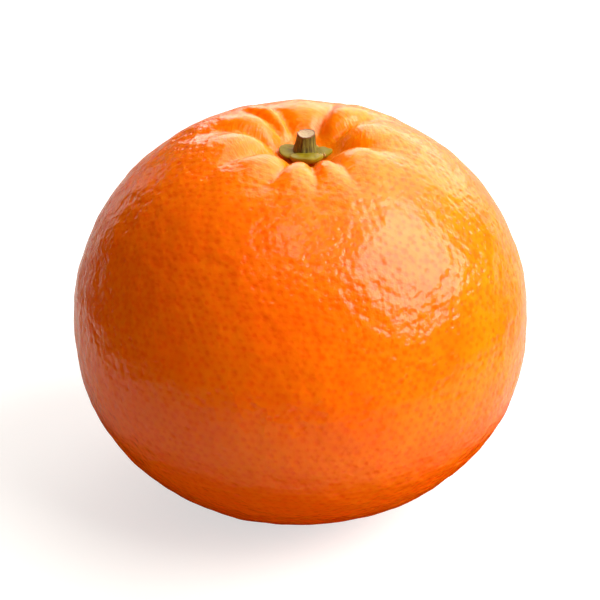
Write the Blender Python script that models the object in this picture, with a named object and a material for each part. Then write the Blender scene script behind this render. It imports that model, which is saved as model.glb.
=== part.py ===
"""Mandarin: a ribbed, flattened fruit with its green calyx and a cut stub of stem.

Metres, +Z up. The fruit stands on the small flat spot at its blossom end, and the origin is the
centre of that spot. The crown, with the calyx and the stem, is at the top.
"""
import math

import bpy
import bmesh

MM = 0.001

# Fruit: a turned outline made of two quarter superellipses that meet at the equator.
EQUATOR_RADIUS = 34.0 * MM
UPPER_HEIGHT = 32.0 * MM
LOWER_HEIGHT = 28.4 * MM
UPPER_POWER = 2.08
LOWER_POWER = 2.18
FLAT_RADIUS = 8.0 * MM

# Crown: the bowl round the stem, wider towards -Y, whose middle lies a little off the fruit's axis.
CROWN_OFFSET = 0.7 * MM
CROWN_SHIFT_START = 5.0 * MM
CROWN_SHIFT_END = 18.0 * MM
BOWL_DEPTH = 5.6 * MM
BOWL_RADIUS = 6.2 * MM
BOWL_FRONT_WIDENING = 1.0 * MM
BOWL_POWER = 4.0

# Ribs: azimuth of each crease round the crown in degrees, its depth, and the rise of the rib after it.
CREASES = (
    (33.0, 0.85 * MM, 0.75 * MM),
    (69.0, 1.05 * MM, 0.45 * MM),
    (114.0, 0.90 * MM, 0.55 * MM),
    (132.0, 0.70 * MM, 0.75 * MM),
    (168.0, 0.85 * MM, 0.65 * MM),
    (215.0, 0.95 * MM, 0.60 * MM),
    (252.0, 1.00 * MM, 0.45 * MM),
    (278.0, 1.05 * MM, 0.45 * MM),
    (300.0, 0.75 * MM, 0.60 * MM),
    (342.0, 1.00 * MM, 0.60 * MM),
)
RIB_INNER = 4.3 * MM
RIB_NOSE = 6.2 * MM
RIB_FADE_START = 7.0 * MM
RIB_FADE_END = 22.0 * MM
RIB_FADE_POWER = 1.4
RIB_SHARP = 2.3

COLUMNS_PER_RIB = 8
LOWER_RINGS = 14
UPPER_RINGS = 25
CROWN_CROWDING = 1.5

# Calyx: five fused sepals, as azimuth in degrees, reach and half width in degrees.
CLEARANCE = 0.3 * MM
SEPALS = (
    (272.0, 4.1 * MM, 46.0),
    (356.0, 3.85 * MM, 20.0),
    (62.0, 2.6 * MM, 22.0),
    (118.0, 2.7 * MM, 22.0),
    (171.0, 3.8 * MM, 32.0),
)
CALYX_CORE = 2.3 * MM
CALYX_THICKNESS = 1.0 * MM
CALYX_EDGE_POWER = 0.55
CALYX_COLUMNS = 60
CALYX_RINGS = 12

# Stem: a short tapered stub with a slanted cut.
STEM_BASE_RADIUS = 1.46 * MM
STEM_TOP_RADIUS = 1.29 * MM
STEM_HEIGHT = 2.15 * MM
STEM_COLUMNS = 36
STEM_RINGS = 6
STEM_FLARE = 0.12
STEM_FLARE_POWER = 4
STEM_RIDGES = 9
STEM_RIDGE_DEPTH = 0.05
STEM_RIDGE_START = 0.3
STEM_RIDGE_TWIST = 2.0
STEM_LEAN = 0.03
CUT_SLOPE_X = 0.05
CUT_SLOPE_Y = 0.02

SHARP_ANGLE = 50.0


def smooth_step(low, high, value):
    share = min(max((value - low) / (high - low), 0.0), 1.0)
    return share * share * (3.0 - 2.0 * share)


def quarter(radius, height, power):
    """Height of a quarter superellipse over a radius, measured from the equator."""
    share = min(radius / EQUATOR_RADIUS, 1.0)
    return height * (1.0 - share ** power) ** (1.0 / power)


EQUATOR_HEIGHT = quarter(FLAT_RADIUS, LOWER_HEIGHT, LOWER_POWER)


def bowl(radius, azimuth):
    """Depth of the bowl round the stem at a distance from the crown's middle."""
    towards_front = 0.5 - 0.5 * math.sin(math.radians(azimuth))
    width = BOWL_RADIUS + BOWL_FRONT_WIDENING * towards_front ** 2
    return BOWL_DEPTH / (1.0 + (radius / width) ** BOWL_POWER)


def crown_height(radius, azimuth):
    """Height of the upper side without its ribs."""
    return EQUATOR_HEIGHT + quarter(radius, UPPER_HEIGHT, UPPER_POWER) - bowl(radius, azimuth)


def rib_at(azimuth):
    """Index of the rib that holds an azimuth, and the place across it from 0 to 1."""
    for index, (start, _, _) in enumerate(CREASES):
        end = CREASES[(index + 1) % len(CREASES)][0]
        width = (end - start) % 360.0
        along = (azimuth - start) % 360.0
        if along < width:
            return index, along / width
    return 0, 0.0


def rib_height(radius, azimuth):
    """Height that the ribs add: up along a rib's back, down in a crease."""
    index, across = rib_at(azimuth)
    _, start_depth, rise = CREASES[index]
    _, end_depth, _ = CREASES[(index + 1) % len(CREASES)]
    outward = smooth_step(RIB_FADE_START, RIB_FADE_END, radius)
    side = abs(2.0 * across - 1.0)
    puffed = 1.0 - side ** RIB_SHARP
    soft = 0.5 - 0.5 * math.cos(2.0 * math.pi * across)
    back = puffed + (soft - puffed) * outward
    depth = start_depth + (end_depth - start_depth) * across
    reach = smooth_step(RIB_INNER, RIB_NOSE, radius) * (1.0 - outward) ** RIB_FADE_POWER
    return reach * (rise * back - depth * (1.0 - back))


def fruit_point(level, azimuth):
    """Point of the fruit's skin: level 0 is the edge of the flat spot, 1 the equator, 2 the crown."""
    if level <= 1.0:
        edge = math.asin((FLAT_RADIUS / EQUATOR_RADIUS) ** (LOWER_POWER / 2.0))
        angle = edge + (math.pi / 2.0 - edge) * level
        radius = EQUATOR_RADIUS * math.sin(angle) ** (2.0 / LOWER_POWER)
        height = EQUATOR_HEIGHT - quarter(radius, LOWER_HEIGHT, LOWER_POWER)
        if level == 0.0:
            height = 0.0
    else:
        angle = math.pi / 2.0 * (2.0 - level) ** CROWN_CROWDING
        radius = EQUATOR_RADIUS * math.sin(angle) ** (2.0 / UPPER_POWER)
        height = crown_height(radius, azimuth) + rib_height(radius, azimuth)
    turn = math.radians(azimuth)
    shift = 0.0
    if level > 1.0:
        shift = CROWN_OFFSET * (1.0 - smooth_step(CROWN_SHIFT_START, CROWN_SHIFT_END, radius))
    return radius * math.cos(turn) + shift, radius * math.sin(turn), height


def make_material(name, color, roughness):
    material = bpy.data.materials.new(name)
    material.use_nodes = True
    shader = material.node_tree.nodes["Principled BSDF"]
    shader.inputs["Base Color"].default_value = (*color, 1.0)
    shader.inputs["Roughness"].default_value = roughness
    shader.inputs["Metallic"].default_value = 0.0
    return material


def add_object(name, bm, material, parent):
    bmesh.ops.recalc_face_normals(bm, faces=bm.faces)
    mesh = bpy.data.meshes.new(name)
    bm.to_mesh(mesh)
    bm.free()
    mesh.materials.append(material)
    mesh.shade_smooth()
    mesh.set_sharp_from_angle(angle=math.radians(SHARP_ANGLE))
    item = bpy.data.objects.new(name, mesh)
    item.parent = parent
    bpy.context.scene.collection.objects.link(item)
    return item


for old in list(bpy.data.objects):
    bpy.data.objects.remove(old, do_unlink=True)

whole = bpy.data.objects.new("mandarin", None)
bpy.context.scene.collection.objects.link(whole)

# Fruit: a sphere of rings whose columns run along the creases, moved onto the fruit's skin.
columns = COLUMNS_PER_RIB * len(CREASES)
rings = LOWER_RINGS + UPPER_RINGS + 1
bm = bmesh.new()
bmesh.ops.create_uvsphere(bm, u_segments=columns, v_segments=rings, radius=1.0)
for vert in bm.verts:
    ring = round(math.acos(min(max(-vert.co.z, -1.0), 1.0)) / math.pi * rings)
    column = round(math.degrees(math.atan2(vert.co.y, vert.co.x)) / 360.0 * columns) % columns
    rib, step = divmod(column, COLUMNS_PER_RIB)
    start = CREASES[rib][0]
    width = (CREASES[(rib + 1) % len(CREASES)][0] - start) % 360.0
    azimuth = start + width * step / COLUMNS_PER_RIB
    if ring == 0:
        vert.co = (0.0, 0.0, 0.0)
    elif ring <= LOWER_RINGS + 1:
        vert.co = fruit_point((ring - 1) / LOWER_RINGS, azimuth)
    elif ring < rings:
        vert.co = fruit_point(1.0 + (ring - 1 - LOWER_RINGS) / UPPER_RINGS, azimuth)
    else:
        vert.co = (CROWN_OFFSET, 0.0, crown_height(0.0, 0.0))
add_object("fruit", bm, make_material("peel", (0.90, 0.20, 0.01), 0.32), whole)

# Calyx: a flattened sphere drawn out into the five sepals, lying in the bowl.
bm = bmesh.new()
bmesh.ops.create_uvsphere(bm, u_segments=CALYX_COLUMNS, v_segments=CALYX_RINGS, radius=1.0)
for vert in bm.verts:
    across = min(math.hypot(vert.co.x, vert.co.y), 1.0)
    upright = math.copysign(math.sqrt(1.0 - across * across) ** CALYX_EDGE_POWER, vert.co.z)
    turn = math.atan2(vert.co.y, vert.co.x)
    reach = CALYX_CORE
    for sepal, length, half_width in SEPALS:
        away = (math.degrees(turn) - sepal + 180.0) % 360.0 - 180.0
        reach += (length - CALYX_CORE) * math.exp(-((away / half_width) ** 2))
    radius = reach * across
    middle = crown_height(radius, math.degrees(turn)) + CLEARANCE + CALYX_THICKNESS / 2.0
    vert.co.x = CROWN_OFFSET + radius * math.cos(turn)
    vert.co.y = radius * math.sin(turn)
    vert.co.z = middle + CALYX_THICKNESS / 2.0 * upright
add_object("calyx", bm, make_material("calyx", (0.38, 0.33, 0.04), 0.42), whole)

# Stem: a ridged stub that flares at its foot, cut at a slant.
foot = crown_height(STEM_BASE_RADIUS, 90.0) + CLEARANCE + CALYX_THICKNESS + CLEARANCE
bm = bmesh.new()
bmesh.ops.create_cone(
    bm,
    cap_ends=True,
    segments=STEM_COLUMNS,
    radius1=STEM_BASE_RADIUS,
    radius2=STEM_TOP_RADIUS,
    depth=STEM_HEIGHT,
)
sides = [edge for edge in bm.edges if abs(edge.verts[0].co.z - edge.verts[1].co.z) > STEM_HEIGHT / 2.0]
bmesh.ops.subdivide_edges(bm, edges=sides, cuts=STEM_RINGS - 1)
for vert in bm.verts:
    up = vert.co.z / STEM_HEIGHT + 0.5
    turn = math.atan2(vert.co.y, vert.co.x)
    ridges = math.sin(STEM_RIDGES * turn + STEM_RIDGE_TWIST * up) * smooth_step(0.0, STEM_RIDGE_START, up)
    swell = 1.0 + STEM_RIDGE_DEPTH * ridges + STEM_FLARE * (1.0 - up) ** STEM_FLARE_POWER
    slant = (CUT_SLOPE_X * vert.co.x + CUT_SLOPE_Y * vert.co.y) * up
    vert.co.x = CROWN_OFFSET + vert.co.x * swell + STEM_LEAN * STEM_HEIGHT * up
    vert.co.y = vert.co.y * swell
    vert.co.z = foot + STEM_HEIGHT * up + slant
add_object("stem", bm, make_material("stem", (0.30, 0.24, 0.05), 0.70), whole)
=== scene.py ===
import math
import random

import bmesh
import bpy
from mathutils import Matrix, Vector, kdtree, noise


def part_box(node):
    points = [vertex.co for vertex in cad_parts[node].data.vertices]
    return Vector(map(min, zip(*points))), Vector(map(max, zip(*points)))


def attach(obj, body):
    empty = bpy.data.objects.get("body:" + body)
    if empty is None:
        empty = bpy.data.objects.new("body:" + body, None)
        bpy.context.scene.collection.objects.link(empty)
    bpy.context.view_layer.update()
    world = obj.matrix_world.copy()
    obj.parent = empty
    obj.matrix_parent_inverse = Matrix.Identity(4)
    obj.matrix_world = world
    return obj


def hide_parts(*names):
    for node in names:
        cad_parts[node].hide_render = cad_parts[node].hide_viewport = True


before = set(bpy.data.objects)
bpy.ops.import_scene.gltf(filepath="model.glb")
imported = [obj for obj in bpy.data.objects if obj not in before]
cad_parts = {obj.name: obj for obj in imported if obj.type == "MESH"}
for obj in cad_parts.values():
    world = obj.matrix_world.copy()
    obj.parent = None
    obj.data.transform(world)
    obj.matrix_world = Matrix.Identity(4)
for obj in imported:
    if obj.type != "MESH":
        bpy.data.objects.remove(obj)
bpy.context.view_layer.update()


# ---- Peel ----
# The whole fruit in its peel: a flattened ball with a bowl and ten ribs round the stem, and a
# small flat at the blossom end. The skin is glossy and waxy, over oil glands about 1.2 mm apart,
# each of which shows as a darker dot in a shallow pit.

MM = 0.001
fruit_low, fruit_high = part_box("fruit")
RADIUS = (fruit_high.x - fruit_low.x) / 2.0
UPPER_HEIGHT = RADIUS * 0.941
LOWER_HEIGHT = RADIUS * 0.835
UPPER_POWER = 2.08
LOWER_POWER = 2.18
FLAT_RADIUS = 8.0 * MM

CROWN_OFFSET = 0.7 * MM
CROWN_SHIFT = (5.0 * MM, 18.0 * MM)
BOWL_DEPTH = 5.6 * MM
BOWL_RADIUS = 6.2 * MM
BOWL_FRONT_WIDENING = 1.0 * MM
BOWL_POWER = 4.0

# Azimuth of each crease in degrees, its depth, and the rise of the rib after it.
CREASES = (
    (33.0, 0.85 * MM, 0.75 * MM),
    (69.0, 1.05 * MM, 0.45 * MM),
    (114.0, 0.90 * MM, 0.55 * MM),
    (132.0, 0.70 * MM, 0.75 * MM),
    (168.0, 0.85 * MM, 0.65 * MM),
    (215.0, 0.95 * MM, 0.60 * MM),
    (252.0, 1.00 * MM, 0.45 * MM),
    (278.0, 1.05 * MM, 0.45 * MM),
    (300.0, 0.75 * MM, 0.60 * MM),
    (342.0, 1.00 * MM, 0.60 * MM),
)
RIB_NOSE = (4.3 * MM, 6.2 * MM)
RIB_FADE = (7.0 * MM, 22.0 * MM)
RIB_FADE_POWER = 1.4
RIB_SHARP = 2.3

DIMPLE_RADIUS = 6.0 * MM
DIMPLE_DEPTH = 0.45 * MM

# A gland's depth is GLAND_DEPTH times a number from one of two ranges; a tenth of them are deep.
GLAND_JITTER = 0.27
GLAND_REACH = (0.55 * MM, 0.85 * MM)
GLAND_DEPTH = 0.055 * MM
DEEP_GLANDS = 0.10
DEEP_GLAND = (1.3, 2.2)
SHALLOW_GLAND = (0.05, 0.65)
GLAND_PATCH = 6.0 * MM
GLAND_UNEVENNESS = 0.9
GLAND_LEAST_TINT = 0.5

# Soft swells of the whole skin, by width and height. They fade out at the stem and the blossom end.
SWELLS = ((13.0 * MM, 0.15 * MM), (5.5 * MM, 0.10 * MM), (2.4 * MM, 0.11 * MM))
POLE_CALM = (2.0 * MM, 6.0 * MM)


def smooth_step(low, high, value):
    share = min(max((value - low) / (high - low), 0.0), 1.0)
    return share * share * (3.0 - 2.0 * share)


def quarter(radius, height, power):
    """Height of a quarter superellipse over a radius, measured from the equator."""
    share = min(radius / RADIUS, 1.0)
    return height * (1.0 - share ** power) ** (1.0 / power)


EQUATOR_HEIGHT = quarter(FLAT_RADIUS, LOWER_HEIGHT, LOWER_POWER)


def crown_height(radius, azimuth):
    """Height of the fruit's upper side without its ribs."""
    towards_front = 0.5 - 0.5 * math.sin(math.radians(azimuth))
    width = BOWL_RADIUS + BOWL_FRONT_WIDENING * towards_front ** 2
    bowl = BOWL_DEPTH / (1.0 + (radius / width) ** BOWL_POWER)
    return EQUATOR_HEIGHT + quarter(radius, UPPER_HEIGHT, UPPER_POWER) - bowl


def rib_height(radius, azimuth):
    """Height that the ribs add: up along a rib's back, down in a crease."""
    for index, (start, start_depth, rise) in enumerate(CREASES):
        end, end_depth, _ = CREASES[(index + 1) % len(CREASES)]
        across = ((azimuth - start) % 360.0) / ((end - start) % 360.0)
        if across < 1.0:
            break
    outward = smooth_step(*RIB_FADE, radius)
    puffed = 1.0 - abs(2.0 * across - 1.0) ** RIB_SHARP
    soft = 0.5 - 0.5 * math.cos(2.0 * math.pi * across)
    back = puffed + (soft - puffed) * outward
    depth = start_depth + (end_depth - start_depth) * across
    reach = smooth_step(*RIB_NOSE, radius) * (1.0 - outward) ** RIB_FADE_POWER
    return reach * (rise * back - depth * (1.0 - back))


def skin_point(direction):
    """The skin's place in a direction from the fruit's middle, without glands or swells."""
    azimuth = math.degrees(math.atan2(direction.y, direction.x))
    level = min(math.hypot(direction.x, direction.y), 1.0)
    if direction.z < 0.0:
        radius = RADIUS * level ** (2.0 / LOWER_POWER)
        height = max(EQUATOR_HEIGHT - quarter(radius, LOWER_HEIGHT, LOWER_POWER), 0.0)
        height += DIMPLE_DEPTH * max(1.0 - (radius / DIMPLE_RADIUS) ** 2, 0.0) ** 2
        shift = 0.0
    else:
        radius = RADIUS * level ** (2.0 / UPPER_POWER)
        height = crown_height(radius, azimuth) + rib_height(radius, azimuth)
        shift = CROWN_OFFSET * (1.0 - smooth_step(*CROWN_SHIFT, radius))
    turn = math.radians(azimuth)
    return Vector((radius * math.cos(turn) + shift, radius * math.sin(turn), height))


class Link:
    """A socket in a material; a sum, difference or product of it adds Math nodes."""

    def __init__(self, finish, socket):
        self.finish = finish
        self.socket = socket

    def math(self, operation, first, second):
        return self.finish.node("Math", {"operation": operation}, {0: first, 1: second})

    def __add__(self, other):
        return self.math("ADD", self, other)

    def __sub__(self, other):
        return self.math("SUBTRACT", self, other)

    def __rsub__(self, other):
        return self.math("SUBTRACT", other, self)

    def __mul__(self, other):
        return self.math("MULTIPLY", self, other)

    __radd__ = __add__
    __rmul__ = __mul__


class Finish:
    """A material as it is mixed: the shader's fixed numbers first, then what varies over the surface."""

    def __init__(self, name, **numbers):
        self.material = bpy.data.materials.new(name)
        self.material.use_nodes = True
        self.nodes = self.material.node_tree.nodes
        self.shader = self.nodes["Principled BSDF"]
        for socket, number in numbers.items():
            self.shader.inputs[socket.replace("_", " ")].default_value = number

    def node(self, kind, settings=None, sockets=None, output=0):
        """A new node with its settings, then the numbers or links of its sockets."""
        made = self.nodes.new("ShaderNode" + kind)
        for setting, value in (settings or {}).items():
            setattr(made, setting, value)
        for socket, value in (sockets or {}).items():
            if isinstance(value, Link):
                self.material.node_tree.links.new(value.socket, made.inputs[socket])
            else:
                made.inputs[socket].default_value = value
        return Link(self, made.outputs[output])

    def place(self):
        """Position on the object, in metres."""
        return self.node("TexCoord", output="Object")

    def noise(self, size, place=None, detail=2.0, roughness=0.5):
        """Noise from 0 to 1 whose lumps are about one size across."""
        place = place or self.place()
        settings = {"noise_dimensions": "3D"}
        sockets = {"Vector": place, "Scale": 1.0 / size, "Detail": detail, "Roughness": roughness}
        return self.node("TexNoise", settings, sockets)

    def step(self, value, low, high):
        """0 at low and before it, 1 at high and past it, smooth between."""
        sockets = {"Value": value, "From Min": low, "From Max": high}
        return self.node("MapRange", {"interpolation_type": "SMOOTHSTEP"}, sockets)

    def mix(self, factor, first, second):
        """One colour over another; numbers 6 and 7 are the Mix node's colour sockets."""
        colors = [color if isinstance(color, Link) else (*color, 1.0) for color in (first, second)]
        sockets = {"Factor": factor, 6: colors[0], 7: colors[1]}
        return self.node("Mix", {"data_type": "RGBA"}, sockets, output=2)

    def level(self):
        """Position on the object with its height taken out."""
        return self.node("Mapping", None, {"Vector": self.place(), "Scale": (1.0, 1.0, 0.0)})

    def length(self, vector):
        return self.node("VectorMath", {"operation": "LENGTH"}, {0: vector}, output="Value")

    def axis(self, vector, index):
        """One coordinate of a vector: 0 for x, 1 for y, 2 for z."""
        return self.node("SeparateXYZ", None, {"Vector": vector}, output=index)

    def attribute(self, name):
        """A number kept at each of the mesh's vertices."""
        return self.node("Attribute", {"attribute_name": name}, output="Fac")

    def feed(self, **links):
        """What varies over the surface, into the shader's sockets of these names."""
        for socket, link in links.items():
            self.material.node_tree.links.new(link.socket, self.shader.inputs[socket.replace("_", " ")])

    def relief(self, height):
        """Bump from a height in metres."""
        self.feed(Normal=self.node("Bump", None, {"Height": height, "Strength": 1.0, "Distance": 1.0}))


def make_object(name, bm, *materials):
    """An object at the origin, with its place in its mesh."""
    mesh = bpy.data.meshes.new(name)
    bm.to_mesh(mesh)
    bm.free()
    for material in materials:
        mesh.materials.append(material)
    made = bpy.data.objects.new(name, mesh)
    bpy.context.scene.collection.objects.link(made)
    return made


def make_piece(name, bm, *materials):
    """A smooth-shaded piece that belongs to the fruit."""
    piece = make_object(name, bm, *materials)
    piece.data.shade_smooth()
    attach(piece, "root")
    return piece


# NET is the skin between the glands; the others are mixed into it in patches, dots and zones. The gland
# colour also paints shade on the left side, the under colour paints shade on the underside, and the crown
# colour is partly painted light from above.
PEEL_NET = (0.93, 0.200, 0.002)
PEEL_GLAND_AND_SHADE = (0.84, 0.090, 0.001)
PEEL_DEEP = (0.90, 0.125, 0.001)
PEEL_UNDER_SHADE = (0.84, 0.060, 0.001)
PEEL_CROWN_AND_LIGHT = (0.94, 0.290, 0.003)

peel = Finish(
    "peel",
    Subsurface_Weight=1.0,
    Subsurface_Radius=(1.0, 0.5, 0.25),
    Subsurface_Scale=1.7 * MM,
    IOR=1.45,
    Specular_IOR_Level=0.26,
)
LUMP_SIZE = 2.0 * MM
LUMP_HEIGHT = 0.19 * MM
FLECK_SIZE = 0.5 * MM
FLECK_HEIGHT = 0.016 * MM
PIT_SPACING = 1.6 * MM
PIT_DEPTH = 0.040 * MM
GLAND_DIP = 0.030 * MM
CLOUD_SIZE = 9.0 * MM

# Wrinkles run in rings round the stem; WAVER sets how often they break off along a ring.
WRINKLE_SPACING = 0.42 * MM
WRINKLE_WAVER = 7.0
WRINKLE_HEIGHT = 0.11 * MM
WRINKLED_LUMP_HEIGHT = 0.05 * MM

# Where the skin changes: out from the stem, up the fruit's side, and from its right to its left. The redder
# underside and left side are painted shade, and the yellower top round the stem is partly painted light.
CROWN_EDGE = (15.0 * MM, 7.0 * MM)
SHOULDER_EDGE = (26.0 * MM, 8.0 * MM)
UPPER_SIDE = (35.0 * MM, 45.0 * MM)
SHADED_UNDERSIDE = (32.0 * MM, 2.0 * MM)
PAINTED_SHADE_SIDE = (18.0 * MM, -30.0 * MM)

lumps = peel.noise(LUMP_SIZE, detail=3.0)
flecks = peel.noise(FLECK_SIZE, detail=2.0)
clouds = peel.step(peel.noise(CLOUD_SIZE, detail=3.0), 0.35, 0.70)
gland = peel.step(peel.attribute("gland") + flecks * 0.3, 0.14, 0.86)
cell_sockets = {"Vector": peel.place(), "Scale": 1.0 / PIT_SPACING, "Smoothness": 0.3, "Randomness": 0.9}
cells = peel.node("TexVoronoi", {"feature": "SMOOTH_F1"}, cell_sockets, output="Distance")
pit = peel.step(cells, 0.55, 0.12)

height = peel.axis(peel.place(), 2)
across = peel.axis(peel.place(), 0)
from_stem = peel.length(peel.level())
upper = peel.step(height, *UPPER_SIDE)
crown = peel.step(from_stem, *CROWN_EDGE) * upper
shoulder = peel.step(from_stem, *SHOULDER_EDGE) * upper

color = peel.mix(clouds * 0.5, PEEL_NET, PEEL_DEEP)
# Yellower skin on the upper side round the stem: partly its own colour, partly painted light from above.
color = peel.mix(shoulder * 0.5, color, PEEL_CROWN_AND_LIGHT)
color = peel.mix(gland * (0.50 - crown * 0.35), color, PEEL_GLAND_AND_SHADE)
# Painted shade: the left side, away from the key light, is mixed towards the darker, redder gland colour.
color = peel.mix(peel.step(across, *PAINTED_SHADE_SIDE) * 0.35, color, PEEL_GLAND_AND_SHADE)
# Painted shade: the underside is mixed towards a darker red.
color = peel.mix(peel.step(height, *SHADED_UNDERSIDE) * 0.8, color, PEEL_UNDER_SHADE)
peel.feed(Base_Color=color, Roughness=flecks * 0.08 + 0.12)

heading = peel.node("VectorMath", {"operation": "NORMALIZE"}, {0: peel.level()})
rings = peel.node("CombineXYZ", None, {"Z": from_stem * (1.0 / WRINKLE_SPACING)})
arc_sockets = {0: heading, 1: (WRINKLE_WAVER, WRINKLE_WAVER, WRINKLE_WAVER), 2: rings}
arcs = peel.node("VectorMath", {"operation": "MULTIPLY_ADD"}, arc_sockets)
pebbled = lumps * LUMP_HEIGHT + flecks * FLECK_HEIGHT - pit * PIT_DEPTH - gland * gland * GLAND_DIP
wrinkled = peel.noise(1.0, arcs, detail=1.0) * WRINKLE_HEIGHT + lumps * WRINKLED_LUMP_HEIGHT
peel.relief(pebbled + (wrinkled - pebbled) * crown)

rng = random.Random(7)
bm = bmesh.new()
bmesh.ops.create_icosphere(bm, subdivisions=6, radius=1.0)
spacing = sum(edge.calc_length() for edge in bm.edges) / len(bm.edges)
for vert in bm.verts:
    vert.co += Vector([rng.uniform(-1.0, 1.0) for _ in range(3)]) * (GLAND_JITTER * spacing)
    vert.co.normalize()
glands = kdtree.KDTree(len(bm.verts))
reaches = []
depths = []
for index, vert in enumerate(bm.verts):
    glands.insert(vert.co * RADIUS, index)
    reaches.append(rng.uniform(*GLAND_REACH))
    depth = rng.uniform(*DEEP_GLAND) if rng.random() < DEEP_GLANDS else rng.uniform(*SHALLOW_GLAND)
    depths.append(depth * (1.0 + GLAND_UNEVENNESS * noise.noise(vert.co * RADIUS / GLAND_PATCH)))
glands.balance()
bmesh.ops.subdivide_edges(bm, edges=bm.edges, cuts=2, use_grid_fill=True)
gland_layer = bm.verts.layers.float.new("gland")
for vert in bm.verts:
    direction = vert.co.normalized()
    _, index, away = glands.find(direction * RADIUS)
    near = max(1.0 - away / reaches[index], 0.0)
    vert[gland_layer] = near * min(depths[index] + GLAND_LEAST_TINT, 1.0)
    spot = skin_point(direction)
    swell = sum(tall * noise.noise(spot / wide) for wide, tall in SWELLS)
    swell -= GLAND_DEPTH * depths[index] * near * near * (3.0 - 2.0 * near)
    calm = smooth_step(*POLE_CALM, math.hypot(spot.x, spot.y))
    vert.co = spot + direction * (swell * calm)
    vert.co.z = max(vert.co.z, 0.0)
bmesh.ops.recalc_face_normals(bm, faces=bm.faces)
fruit = make_piece("peel", bm, peel.material)
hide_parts("fruit")


# ---- Blossom scar ----
# The dry, corky spot that the flower's style left. It has grown into the peel, in the dimple at the
# middle of the underside, clear of the table.

SCAR_RADIUS = 1.1 * MM
SCAR_HEIGHT = 0.5 * MM
SCAR_LIFT = 0.02 * MM
SCAR_LUMP_SIZE = 0.5 * MM
SCAR_LUMP_HEIGHT = 0.06 * MM
CORK_DARK = (0.13, 0.055, 0.018)
CORK_PALE = (0.36, 0.20, 0.075)
CORK_GRAIN = 0.35 * MM
CORK_GRAIN_HEIGHT = 0.08 * MM

scar_finish = Finish("blossom_scar", Specular_IOR_Level=0.25)
cork = scar_finish.noise(CORK_GRAIN, detail=4.0)
scar_finish.feed(
    Base_Color=scar_finish.mix(cork, CORK_DARK, CORK_PALE),
    Roughness=cork * 0.2 + 0.7,
)
scar_finish.relief(cork * CORK_GRAIN_HEIGHT)

bm = bmesh.new()
bmesh.ops.create_uvsphere(bm, u_segments=36, v_segments=16, radius=1.0)
for vert in bm.verts:
    rough = 1.0 + 0.16 * noise.noise(vert.co * 2.3)
    vert.co.x *= SCAR_RADIUS * rough
    vert.co.y *= SCAR_RADIUS * rough
    vert.co.z *= SCAR_HEIGHT / 2.0
    vert.co.z += DIMPLE_DEPTH + SCAR_LIFT + SCAR_LUMP_HEIGHT * noise.noise(vert.co / SCAR_LUMP_SIZE)
bmesh.ops.recalc_face_normals(bm, faces=bm.faces)
scar = make_piece("blossom_scar", bm, scar_finish.material)


# ---- Calyx ----
# The green button under the stem: five thick sepals that have grown together and overlap at their
# sides. It sits in the bowl of the crown and holds the fruit to the stem.

CALYX_CORE = 2.35 * MM
CALYX_CORE_FLATNESS = 0.55
CALYX_THICKNESS = 1.0 * MM
CALYX_LIFT = 0.12 * MM
FRONT_SEPAL = 273.0
FRONT_SEPAL_PUFF = 1.35
POINTED_SEPAL = 356.0
POINTED_SEPAL_TAPER = 0.55
SEPALS = (
    # azimuth in degrees, reach, width, lift over its neighbours
    (FRONT_SEPAL, 4.6 * MM, 4.8 * MM, 0.40 * MM),
    (POINTED_SEPAL, 3.9 * MM, 3.2 * MM, 0.04 * MM),
    (62.0, 2.8 * MM, 2.6 * MM, 0.0 * MM),
    (118.0, 2.9 * MM, 2.8 * MM, 0.0 * MM),
    (172.0, 3.85 * MM, 4.2 * MM, 0.0 * MM),
)
SEPAL_START = 0.5 * MM
SEPAL_LIFT_OFF = (0.5 * MM, 2.6 * MM)
SEPAL_PUFF_POWER = 0.7
CALYX_CREASE_HEIGHT = 0.012 * MM
CALYX_LUMP_SIZE = 1.1 * MM
CALYX_LUMP_HEIGHT = 0.12 * MM
CALYX_GRAIN = 0.22 * MM
CALYX_GRAIN_HEIGHT = 0.02 * MM
CALYX_OLIVE = (0.185, 0.135, 0.003)
CALYX_PALE_OLIVE = (0.275, 0.215, 0.008)
CALYX_BROWN = (0.145, 0.092, 0.002)

calyx_finish = Finish(
    "calyx",
    Subsurface_Weight=0.4,
    Subsurface_Radius=(1.0, 0.8, 0.2),
    Subsurface_Scale=0.25 * MM,
    IOR=1.45,
    Specular_IOR_Level=0.12,
)
spots = calyx_finish.noise(0.5 * MM, detail=4.0)
patches = calyx_finish.step(calyx_finish.noise(1.8 * MM, detail=2.0), 0.35, 0.7)
color = calyx_finish.mix(spots, CALYX_OLIVE, CALYX_PALE_OLIVE)
color = calyx_finish.mix(patches * 0.45, color, CALYX_BROWN)
calyx_finish.feed(Base_Color=color, Roughness=spots * 0.15 + 0.30)
calyx_finish.relief(calyx_finish.noise(CALYX_GRAIN, detail=3.0) * CALYX_GRAIN_HEIGHT)

bm = bmesh.new()
bmesh.ops.create_uvsphere(bm, u_segments=64, v_segments=32, radius=1.0)
bmesh.ops.scale(bm, verts=bm.verts, vec=(CALYX_CORE, CALYX_CORE, CALYX_THICKNESS * CALYX_CORE_FLATNESS))
for azimuth, reach, width, lift in SEPALS:
    made = bmesh.ops.create_uvsphere(bm, u_segments=72, v_segments=36, radius=1.0)
    for vert in made["verts"]:
        along = vert.co.x
        side = vert.co.y
        if azimuth == POINTED_SEPAL and along > 0.0:
            side *= 1.0 - POINTED_SEPAL_TAPER * along ** 2
        puffed = math.copysign(abs(vert.co.z) ** SEPAL_PUFF_POWER, vert.co.z)
        if azimuth == FRONT_SEPAL:
            puffed *= FRONT_SEPAL_PUFF
        vert.co.x = SEPAL_START + (reach - SEPAL_START) * (0.5 + 0.5 * along)
        vert.co.y = side * width / 2.0
        vert.co.z = puffed * CALYX_THICKNESS * 0.5 + lift * smooth_step(*SEPAL_LIFT_OFF, vert.co.x)
    bmesh.ops.rotate(bm, verts=made["verts"], matrix=Matrix.Rotation(math.radians(azimuth), 3, "Z"))
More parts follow.
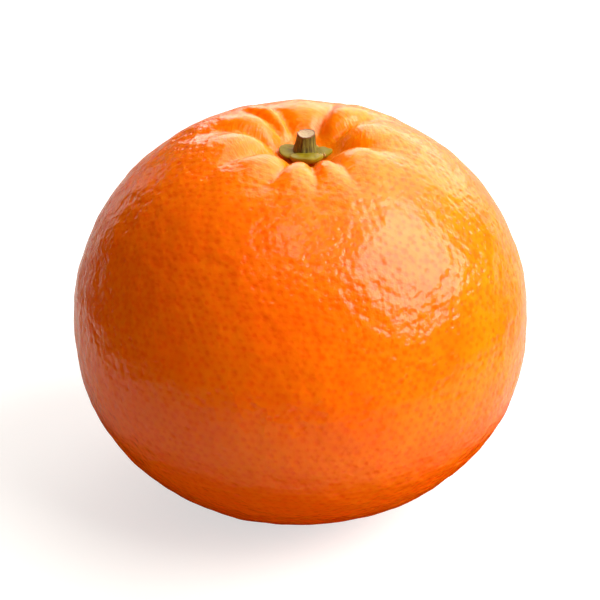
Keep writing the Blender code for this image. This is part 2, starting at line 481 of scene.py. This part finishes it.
for vert in bm.verts:
    radius = vert.co.xy.length
    azimuth = math.degrees(math.atan2(vert.co.y, vert.co.x))
    crease = CALYX_CREASE_HEIGHT * noise.noise(Vector((azimuth / 9.0, radius / (2.5 * MM), 0.0)))
    lump = CALYX_LUMP_HEIGHT * noise.noise(vert.co / CALYX_LUMP_SIZE)
    vert.co.z += (crease + lump) * smooth_step(-0.2 * MM, 0.3 * MM, vert.co.z)
    vert.co.z += crown_height(radius, azimuth) + CALYX_LIFT + CALYX_THICKNESS / 2.0
    vert.co.x += CROWN_OFFSET
bmesh.ops.recalc_face_normals(bm, faces=bm.faces)
calyx = make_piece("calyx_sepals", bm, calyx_finish.material)
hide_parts("calyx")


# ---- Torn edge of the calyx ----
# Where the front sepal has split from its neighbour, a few pale fibres of dry tissue stand up in
# the gap, each with its foot in the calyx.

FIBRE_COUNT = 7
FIBRE_AZIMUTH = 322.0
FIBRE_SPREAD = 8.0
FIBRE_RADIUS = 2.9 * MM
FIBRE_LONG = (0.28 * MM, 0.50 * MM)
FIBRE_THIN = (0.08 * MM, 0.14 * MM)
FIBRE_TILT = 0.9
FIBRE_DARK = (0.40, 0.29, 0.09)
FIBRE_PALE = (0.66, 0.52, 0.26)

fibre_finish = Finish("calyx_fibre", Subsurface_Weight=0.3, Subsurface_Scale=0.2 * MM)
grain = fibre_finish.noise(0.2 * MM, detail=3.0)
fibre_finish.feed(
    Base_Color=fibre_finish.mix(grain, FIBRE_DARK, FIBRE_PALE),
    Roughness=grain * 0.2 + 0.5,
)

rng = random.Random(3)
bm = bmesh.new()
for index in range(FIBRE_COUNT):
    made = bmesh.ops.create_icosphere(bm, subdivisions=2, radius=1.0)
    long = rng.uniform(*FIBRE_LONG)
    thin = rng.uniform(*FIBRE_THIN)
    radius = FIBRE_RADIUS + rng.uniform(-0.35, 0.55) * MM
    azimuth = FIBRE_AZIMUTH + rng.uniform(-FIBRE_SPREAD, FIBRE_SPREAD)
    turn = math.radians(azimuth)
    base = Vector((CROWN_OFFSET + radius * math.cos(turn), radius * math.sin(turn), 0.0))
    base.z = crown_height(radius, azimuth) + CALYX_LIFT + CALYX_THICKNESS * rng.uniform(0.7, 1.15)
    tilt = Matrix.Rotation(rng.uniform(-FIBRE_TILT, FIBRE_TILT), 4, "X")
    tilt = tilt @ Matrix.Rotation(rng.uniform(-FIBRE_TILT, FIBRE_TILT), 4, "Y")
    shape = Matrix.Translation(base) @ tilt @ Matrix.Diagonal((thin, thin, long, 1.0))
    for vert in made["verts"]:
        vert.co *= 1.0 + 0.35 * noise.noise(vert.co * 1.7 + Vector((index * 3.1, 0.0, 0.0)))
    bmesh.ops.transform(bm, matrix=shape, verts=made["verts"])
fibres = make_piece("calyx_fibres", bm, fibre_finish.material)


# ---- Stem ----
# The stub of fruit stalk, cut off with clippers: wrinkled olive bark round a pale wooden core,
# grown out of the middle of the calyx.

_, stem_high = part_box("stem")
STEM_FOOT_RADIUS = 1.46 * MM
STEM_SEAT = 0.8
STEM_FOOT = crown_height(STEM_FOOT_RADIUS, 90.0) + CALYX_THICKNESS * STEM_SEAT
STEM_TOP = stem_high.z - 0.05 * MM
STEM_BASE_RADIUS = 1.50 * MM
STEM_TOP_RADIUS = 1.29 * MM
STEM_LEAN = 0.03
BARK_THICKNESS = 0.16 * MM
FOOT_FLARE = 0.12
LEFT_FOOT_FLARE = 0.20
CUT_SLOPE_X = 0.05
CUT_SLOPE_Y = 0.10
CUT_HOLLOW = 0.10 * MM
CUT_CORNER = 0.22 * MM

# Bark and wood have a darker and a paler shade each; the bark turns brown along the cut.
BARK_DARK = (0.050, 0.028, 0.002)
BARK_OLIVE = (0.190, 0.150, 0.014)
BARK_SHADE = (0.085, 0.045, 0.003)
BARK_CUT_EDGE = (0.19, 0.078, 0.032)
BARK_STREAK_HEIGHT = 0.10 * MM
BARK_GRAIN_HEIGHT = 0.03 * MM
WOOD_PALE = (0.43, 0.30, 0.17)
WOOD_RED = (0.36, 0.19, 0.115)
WOOD_FIBRE = (0.50, 0.40, 0.24)
WOOD_GRAIN_HEIGHT = 0.05 * MM

bark = Finish("stem_bark", Specular_IOR_Level=0.35)
stretch = bark.node("Mapping", None, {"Vector": bark.place(), "Scale": (1.0, 1.0, 0.25)})
streaks = bark.noise(0.42 * MM, stretch, detail=4.0, roughness=0.6)
fine = bark.noise(0.16 * MM, stretch, detail=3.0)
shades = bark.step(bark.noise(1.6 * MM, stretch, detail=1.0), 0.38, 0.62)
color = bark.mix(bark.step(streaks, 0.35, 0.65), BARK_DARK, BARK_OLIVE)
color = bark.mix(shades * 0.35, color, BARK_SHADE)
color = bark.mix(bark.step(bark.attribute("rim"), 0.45, 1.0), color, BARK_CUT_EDGE)
bark.feed(Base_Color=color, Roughness=streaks * 0.25 + 0.5)
bark.relief(streaks * BARK_STREAK_HEIGHT + fine * BARK_GRAIN_HEIGHT)

wood = Finish("stem_wood", Subsurface_Weight=0.3, Subsurface_Scale=0.2 * MM, Specular_IOR_Level=0.35)
fibrous = wood.noise(0.18 * MM, detail=4.0)
color = wood.mix(wood.step(wood.noise(0.7 * MM), 0.4, 0.7), WOOD_PALE, WOOD_RED)
color = wood.mix(fibrous * 0.35, color, WOOD_FIBRE)
wood.feed(Base_Color=color, Roughness=fibrous * 0.2 + 0.55)
wood.relief(fibrous * WOOD_GRAIN_HEIGHT)

STEM_COLUMNS = 120
STEM_RINGS = 46
CUT_RINGS = 7
bark_share = BARK_THICKNESS / STEM_TOP_RADIUS
bm = bmesh.new()
bmesh.ops.create_cone(bm, cap_ends=True, segments=STEM_COLUMNS, radius1=1.0, radius2=1.0, depth=1.0)
top = next(face for face in bm.faces if face.normal.z > 0.9)
bmesh.ops.inset_region(bm, faces=[top], thickness=bark_share, depth=0.0)
for _ in range(CUT_RINGS):
    bmesh.ops.inset_region(bm, faces=[top], thickness=0.115, depth=0.0)
sides = [edge for edge in bm.edges if abs(edge.verts[0].co.z - edge.verts[1].co.z) > 0.5]
bmesh.ops.subdivide_edges(bm, edges=sides, cuts=STEM_RINGS - 1)
for face in bm.faces:
    middle = face.calc_center_median()
    if middle.z > 0.49 and math.hypot(middle.x, middle.y) < 1.0 - bark_share:
        face.material_index = 1
rim_layer = bm.verts.layers.float.new("rim")
for vert in bm.verts:
    up = vert.co.z + 0.5
    out = math.hypot(vert.co.x, vert.co.y)
    turn = math.atan2(vert.co.y, vert.co.x)
    vert[rim_layer] = smooth_step(0.86, 1.0, up) * smooth_step(0.5, 1.0, out)
    around = Vector((math.cos(turn), math.sin(turn), 0.0))
    wrinkles = 0.055 * noise.noise(around * 2.2 + Vector((0.0, 0.0, up * 0.6)))
    wrinkles += 0.05 * noise.noise(around * 5.0 + Vector((0.0, 0.0, up * 1.1)))
    wrinkles -= 0.045 * abs(noise.noise(around * 9.0 + Vector((3.0, 0.0, up * 1.6))))
    wrinkles += 0.012 * noise.noise(around * 22.0 + Vector((0.0, 0.0, up * 5.0)))
    flare = FOOT_FLARE * (1.0 - up) ** 3
    flare += LEFT_FOOT_FLARE * max(-math.cos(turn), 0.0) * (1.0 - up) ** 1.3
    width = STEM_BASE_RADIUS + (STEM_TOP_RADIUS - STEM_BASE_RADIUS) * up
    swell = 1.0 + (wrinkles * smooth_step(0.0, 0.25, up) + flare) * min(out, 1.0)
    slant = (CUT_SLOPE_X * vert.co.x + CUT_SLOPE_Y * vert.co.y) * STEM_TOP_RADIUS * up
    if up > 0.99:
        ragged = 0.07 * MM * noise.noise(around * 2.0 + Vector((0.0, 0.0, 9.0))) * smooth_step(0.7, 1.0, out)
        rough = 0.05 * MM * noise.noise(vert.co * 4.0)
        hollow = CUT_HOLLOW * (1.0 - out ** 4)
        corner = CUT_CORNER * max(-math.cos(turn - 0.25), 0.0) ** 6 * smooth_step(0.6, 1.0, out)
        slant += ragged + rough + corner - hollow
    vert.co.x = vert.co.x * width * swell + CROWN_OFFSET + STEM_LEAN * (STEM_TOP - STEM_FOOT) * up
    vert.co.y = vert.co.y * width * swell
    vert.co.z = STEM_FOOT + (STEM_TOP - STEM_FOOT) * up + slant
bmesh.ops.recalc_face_normals(bm, faces=bm.faces)
stem = make_piece("stem_stub", bm, bark.material, wood.material)
stem.data.set_sharp_from_angle(angle=math.radians(50.0))
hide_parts("stem")


# ---- Table ----
# A round, pale, matt table that the fruit stands on. It glows a little towards the camera, so that it stays
# nearly white, and the skin mirrors only a ring of it and what lies far behind. The black that the skin
# mirrors close round the fruit is painted shade.

TABLE_RADIUS = 400.0 * MM
TABLE_CENTRE = (100.0 * MM, 200.0 * MM, -0.05 * MM)
TABLE_PALE = (0.48, 0.48, 0.48)
TABLE_MIRRORED = (0.42, 0.42, 0.42)
TABLE_UNSEEN = (0.0, 0.0, 0.0)
TABLE_GLOW = 0.62
MIRRORED_FROM = (36.0 * MM, 50.0 * MM)
MIRRORED_UNTIL = (135.0 * MM, 95.0 * MM)
MIRRORED_BEHIND = (60.0 * MM, 115.0 * MM)
MIRRORED_BEHIND_SHARE = 0.8

table_finish = Finish(
    "table",
    Roughness=0.9,
    Specular_IOR_Level=0.0,
    Emission_Color=(1.0, 1.0, 1.0, 1.0),
)
to_camera = table_finish.node("LightPath", output="Is Camera Ray")
to_gloss = table_finish.node("LightPath", output="Is Glossy Ray")
from_fruit = table_finish.length(table_finish.level())
behind = table_finish.step(table_finish.axis(table_finish.level(), 1), *MIRRORED_BEHIND)
reach = table_finish.step(from_fruit, *MIRRORED_UNTIL)
reach = reach + (1.0 - reach) * behind * MIRRORED_BEHIND_SHARE
# Close round the fruit the table mirrors black in the skin, which is painted shade. Far out it mirrors black
# too, except behind the fruit.
shown = table_finish.step(from_fruit, *MIRRORED_FROM) * reach
mirrored = table_finish.mix(shown, TABLE_UNSEEN, TABLE_MIRRORED)
table_finish.feed(
    Base_Color=table_finish.mix(to_gloss, TABLE_PALE, mirrored),
    Emission_Strength=to_camera * TABLE_GLOW,
)

bm = bmesh.new()
bmesh.ops.create_circle(bm, cap_ends=True, segments=96, radius=TABLE_RADIUS)
bmesh.ops.translate(bm, verts=bm.verts, vec=TABLE_CENTRE)
table = make_object("table", bm, table_finish.material)


# ---- Lights and room ----
# Soft boxes that hang round the fruit in a dim, warm room: a large key light high on the right, two
# behind, a small one overhead, a strip low at the back left, and a weak fill. The overhead one and
# the two sheens only add gloss; the fill only adds light.

# Azimuth and elevation in degrees, and distance from the middle of the fruit.
KEY_SPOT = (-12.0, 40.0, 0.80)
KEY_SHEEN_SPOT = (-12.0, 40.0, 0.79)
BACK_SPOT = (75.0, 24.0, 0.80)
TOP_SPOT = (55.0, 60.0, 0.80)
TOP_SHEEN_SPOT = (62.0, 60.0, 0.79)
OVERHEAD_SPOT = (260.0, 75.0, 0.80)
LEFT_BACK_SPOT = (125.0, 7.0, 0.80)
FILL_SPOT = (180.0, 6.0, 0.80)

# Width and height of each light's face.
KEY_SIZE = (0.80, 0.72)
BACK_SIZE = (0.98, 0.64)
TOP_SIZE = (0.80, 0.50)
OVERHEAD_SIZE = (0.24, 0.42)
STRIP_SIZE = (0.16, 0.34)
FILL_SIZE = (0.80, 0.60)

WARM_KEY = (1.0, 0.97, 0.88)
WARM_BACK = (1.0, 0.97, 0.90)
WARM_STRIP = (1.0, 0.97, 0.92)
WARM_TOP = (1.0, 0.96, 0.86)
WARM_FILL = (1.0, 0.70, 0.50)
ROOM_COLOR = (1.0, 0.80, 0.64, 1.0)
ROOM_STRENGTH = 0.24
BACKDROP_COLOR = (1.0, 1.0, 1.0, 1.0)
middle = Vector((0.0, 0.0, EQUATOR_HEIGHT))


def add_softbox(name, spot, size, radiance, color, lights=True, glosses=True):
    """A light turned to the fruit; radiance sets how bright its own face is."""
    azimuth, elevation, distance = spot
    width, tall = size
    light = bpy.data.lights.new(name, "AREA")
    light.shape = "RECTANGLE"
    light.size = width
    light.size_y = tall
    light.energy = radiance * math.pi * width * tall
    light.color = color
    lamp = bpy.data.objects.new(name, light)
    turn = math.radians(azimuth)
    rise = math.radians(elevation)
    outward = Vector((math.cos(rise) * math.cos(turn), math.cos(rise) * math.sin(turn), math.sin(rise)))
    lamp.location = middle + outward * distance
    lamp.rotation_euler = outward.to_track_quat("Z", "Y").to_euler()
    lamp.visible_diffuse = lights
    lamp.visible_glossy = glosses
    bpy.context.scene.collection.objects.link(lamp)


add_softbox("key", KEY_SPOT, KEY_SIZE, 8.6, WARM_KEY)
add_softbox("back", BACK_SPOT, BACK_SIZE, 3.0, WARM_BACK)
add_softbox("top", TOP_SPOT, TOP_SIZE, 1.6, WARM_BACK)
add_softbox("overhead", OVERHEAD_SPOT, OVERHEAD_SIZE, 4.4, WARM_TOP, lights=False)
add_softbox("left_back", LEFT_BACK_SPOT, STRIP_SIZE, 0.9, WARM_STRIP)
add_softbox("fill", FILL_SPOT, FILL_SIZE, 0.36, WARM_FILL, glosses=False)
add_softbox("key_sheen", KEY_SHEEN_SPOT, KEY_SIZE, 2.4, WARM_STRIP, lights=False)
add_softbox("top_sheen", TOP_SHEEN_SPOT, TOP_SIZE, 1.4, WARM_TOP, lights=False)

world = bpy.data.worlds.new("room")
bpy.context.scene.world = world
world.use_nodes = True
world.cycles_visibility.glossy = False
tree = world.node_tree
dim = tree.nodes["Background"]
dim.inputs["Color"].default_value = ROOM_COLOR
dim.inputs["Strength"].default_value = ROOM_STRENGTH
backdrop = tree.nodes.new("ShaderNodeBackground")
backdrop.inputs["Color"].default_value = BACKDROP_COLOR
backdrop.inputs["Strength"].default_value = 1.0
rays = tree.nodes.new("ShaderNodeLightPath")
either = tree.nodes.new("ShaderNodeMixShader")
tree.links.new(rays.outputs["Is Camera Ray"], either.inputs[0])
tree.links.new(dim.outputs[0], either.inputs[1])
tree.links.new(backdrop.outputs[0], either.inputs[2])
tree.links.new(either.outputs[0], tree.nodes["World Output"].inputs[0])


# ---- Camera ----
# A long lens on a stand in front of the fruit, on the side where the bowl round the stem is widest,
# looking down on it at 30 degrees.

LENS_LENGTH = 107.95
SENSOR_WIDTH = 36.0
VIEW_ELEVATION = 30.0
VIEW_DISTANCE = 272.0 * MM
VIEW_SIDE_STEP = -0.076 * MM
AIM_ABOVE = 0.511

lens = bpy.data.cameras.new("camera")
lens.lens = LENS_LENGTH
lens.sensor_width = SENSOR_WIDTH
camera = bpy.data.objects.new("camera", lens)
rise = math.radians(VIEW_ELEVATION)
back = -VIEW_DISTANCE * math.cos(rise)
camera.location = middle + Vector((VIEW_SIDE_STEP, back, VIEW_DISTANCE * math.sin(rise)))
camera.rotation_euler = (math.radians(90.0 - VIEW_ELEVATION + AIM_ABOVE), 0.0, 0.0)
bpy.context.scene.collection.objects.link(camera)
bpy.context.scene.camera = camera
bpy.context.scene.view_settings.view_transform = "Standard"
